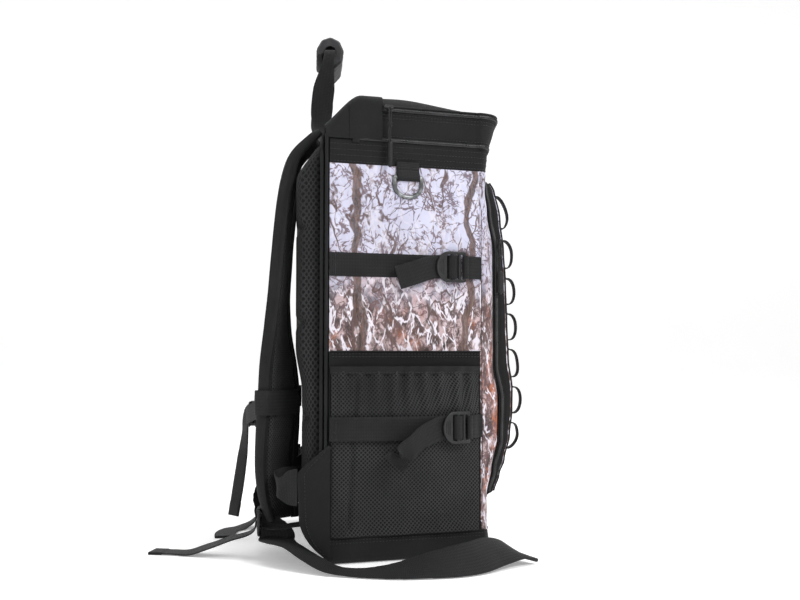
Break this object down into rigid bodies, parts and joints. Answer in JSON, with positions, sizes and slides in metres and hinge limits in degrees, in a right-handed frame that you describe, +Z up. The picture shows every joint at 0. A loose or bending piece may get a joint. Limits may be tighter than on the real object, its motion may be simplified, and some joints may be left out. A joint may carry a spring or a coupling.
{
  "type": "hunting backpack",
  "caption": "Tapered panel backpack with zipped lid, fold-down front pocket, mesh side pockets, compression straps, padded shoulder straps and a waist belt.",
  "frame": {"origin": "middle of the base's underside", "axes": "+Z up, -Y towards the front of the pack, +Y towards the wearer, +X towards the wearer's right"},
  "size_m": [0.3983, 0.412, 0.586],
  "materials": {
    "black_fabric": "coated nylon, matt, fine weave",
    "camo_fabric": "printed polyester, branches and dry leaves on pale grey",
    "mesh_fabric": "open spacer mesh",
    "webbing": "ribbed polyester webbing",
    "buckle_plastic": "moulded acetal, satin",
    "ring_metal": "dark plated steel",
    "zip_metal": "black enamelled zinc",
    "pull_cord": "braided cord with a moulded grip",
    "stiffener": "extruded sheet",
    "grip_vinyl": "smooth coated wrap"
  },
  "bodies": {
    "pack": {"base_boot": "black_fabric", "back_wall": "black_fabric", "front_panel": "black_fabric", "top_band": "black_fabric", "lid_yoke": "black_fabric", "side_lower_left": "black_fabric", "side_lower_right": "black_fabric", "fin_left": "black_fabric", "fin_right": "black_fabric", "side_panel_left": "camo_fabric", "side_panel_right": "camo_fabric", "corner_strip_left": "camo_fabric", "corner_strip_right": "camo_fabric", "back_pad": "mesh_fabric", "mesh_pocket_left": "mesh_fabric", "mesh_pocket_right": "mesh_fabric", "shoulder_strap_left": "mesh_fabric", "shoulder_strap_right": "mesh_fabric", "compression_strap_upper_left": "webbing", "compression_strap_upper_right": "webbing", "compression_strap_lower_left": "webbing", "compression_strap_lower_right": "webbing", "d_ring_tab_left": "webbing", "d_ring_tab_right": "webbing", "sternum_keeper_left": "webbing", "sternum_keeper_right": "webbing", "sternum_web_left": "webbing", "sternum_web_right": "webbing", "waist_web_left": "webbing", "waist_web_right": "webbing", "waist_tail": "webbing", "shoulder_web_left": "webbing", "shoulder_web_right": "webbing", "sternum_buckle_socket": "buckle_plastic", "waist_buckle_socket": "buckle_plastic", "frame_sheet": "stiffener"},
    "lid": {"lid_shell": "black_fabric"},
    "lid_cover": {"lid_flap": "black_fabric"},
    "lid_slider": {"lid_zip_slider": "zip_metal"},
    "lid_pull": {"lid_zip_pull": "pull_cord"},
    "main_slider": {"main_zip_slider": "zip_metal"},
    "main_pull": {"main_zip_pull": "pull_cord"},
    "pocket": {"front_pocket": "camo_fabric", "daisy_chain_left": "webbing", "daisy_chain_right": "webbing"},
    "pocket_slider": {"pocket_zip_slider": "zip_metal"},
    "pocket_pull": {"pocket_zip_pull": "pull_cord"},
    "handle": {"grab_handle_web": "webbing", "grab_handle_grip": "grip_vinyl"},
    "sternum_plug": {"sternum_buckle_plug": "buckle_plastic", "sternum_tail": "webbing"},
    "waist_plug": {"waist_buckle_plug": "buckle_plastic"},
    "ring_left": {"d_ring_left": "ring_metal"},
    "lock_upper_left": {"ladder_lock_upper_left": "buckle_plastic"},
    "lock_lower_left": {"ladder_lock_lower_left": "buckle_plastic"},
    "lock_shoulder_left": {"ladder_lock_shoulder_left": "buckle_plastic"},
    "ring_right": {"d_ring_right": "ring_metal"},
    "lock_upper_right": {"ladder_lock_upper_right": "buckle_plastic"},
    "lock_lower_right": {"ladder_lock_lower_right": "buckle_plastic"},
    "lock_shoulder_right": {"ladder_lock_shoulder_right": "buckle_plastic"}
  },
  "joints": [
    {"name": "lid_open", "type": "hinge", "parent": "pack", "child": "lid", "pos_m": [0, 0.066, 0.478], "axis": [-1, 0, 0], "range_deg": [0, 80]},
    {"name": "lid_pocket_open", "type": "hinge", "parent": "lid", "child": "lid_cover", "pos_m": [0, 0.03, 0.4783], "axis": [-1, 0, 0], "range_deg": [0, 65]},
    {"name": "lid_zip_run", "type": "slide", "parent": "lid", "child": "lid_slider", "axis": [0.229, -0.9734, 0], "range_m": [0, 0.085]},
    {"name": "lid_pull_swing", "type": "hinge", "parent": "lid_slider", "child": "lid_pull", "pos_m": [-0.14284, 0.02203, 0.4759], "axis": [-0.229, 0.9734, 0], "range_deg": [0, 100]},
    {"name": "main_zip_run", "type": "slide", "parent": "pack", "child": "main_slider", "axis": [-0.229, -0.9734, 0], "range_m": [0, 0.095]},
    {"name": "main_pull_swing", "type": "hinge", "parent": "main_slider", "child": "main_pull", "pos_m": [0.1488, 0.04385, 0.4409], "axis": [-0.229, -0.9734, 0], "range_deg": [0, 100]},
    {"name": "pocket_open", "type": "hinge", "parent": "pack", "child": "pocket", "pos_m": [0, -0.094, 0.066], "axis": [1, 0, 0], "range_deg": [0, 75]},
    {"name": "pocket_zip_run", "type": "slide", "parent": "pack", "child": "pocket_slider", "axis": [0, 0, -1], "range_m": [0, 0.13]},
    {"name": "pocket_pull_swing", "type": "hinge", "parent": "pocket_slider", "child": "pocket_pull", "pos_m": [-0.1046, -0.1024, 0.3359], "axis": [0, 1, 0], "range_deg": [0, 90]},
    {"name": "handle_swing", "type": "hinge", "parent": "pack", "child": "handle", "pos_m": [0, 0.0945, 0.4555], "axis": [-1, 0, 0], "range_deg": [0, 100]},
    {"name": "sternum_release", "type": "slide", "parent": "pack", "child": "sternum_plug", "axis": [1, 0, 0], "range_m": [0, 0.028], "deforming": ["sternum_web_right"]},
    {"name": "waist_release", "type": "slide", "parent": "pack", "child": "waist_plug", "axis": [1, 0, 0], "range_m": [0, 0.036], "deforming": ["waist_web_right"]},
    {"name": "lock_upper_left_tilt", "type": "hinge", "parent": "pack", "child": "lock_upper_left", "pos_m": [-0.12181, -0.06014, 0.31], "axis": [0, 0, 1], "range_deg": [0, 30], "deforming": ["compression_strap_upper_left"]},
    {"name": "lock_lower_left_tilt", "type": "hinge", "parent": "pack", "child": "lock_lower_left", "pos_m": [-0.13212, -0.06257, 0.139], "axis": [0, 0, 1], "range_deg": [0, 30], "deforming": ["compression_strap_lower_left"]},
    {"name": "lock_shoulder_left_tilt", "type": "hinge", "parent": "pack", "child": "lock_shoulder_left", "pos_m": [-0.101, 0.1586, 0.0505], "axis": [1, 0, 0], "range_deg": [0, 30], "deforming": ["shoulder_web_left"]},
    {"name": "ring_left_swing", "type": "hinge", "parent": "pack", "child": "ring_left", "pos_m": [-0.13257, 0.00197, 0.4045], "axis": [-0.229, 0.9734, 0], "range_deg": [0, 120]},
    {"name": "lock_upper_right_tilt", "type": "hinge", "parent": "pack", "child": "lock_upper_right", "pos_m": [0.12181, -0.06014, 0.31], "axis": [0, 0, -1], "range_deg": [0, 30], "deforming": ["compression_strap_upper_right"]},
    {"name": "lock_lower_right_tilt", "type": "hinge", "parent": "pack", "child": "lock_lower_right", "pos_m": [0.13212, -0.06257, 0.139], "axis": [0, 0, -1], "range_deg": [0, 30], "deforming": ["compression_strap_lower_right"]},
    {"name": "lock_shoulder_right_tilt", "type": "hinge", "parent": "pack", "child": "lock_shoulder_right", "pos_m": [0.101, 0.1586, 0.0505], "axis": [1, 0, 0], "range_deg": [0, 30], "deforming": ["shoulder_web_right"]},
    {"name": "ring_right_swing", "type": "hinge", "parent": "pack", "child": "ring_right", "pos_m": [0.13257, 0.00197, 0.4045], "axis": [-0.229, -0.9734, 0], "range_deg": [0, 120]}
  ]
}
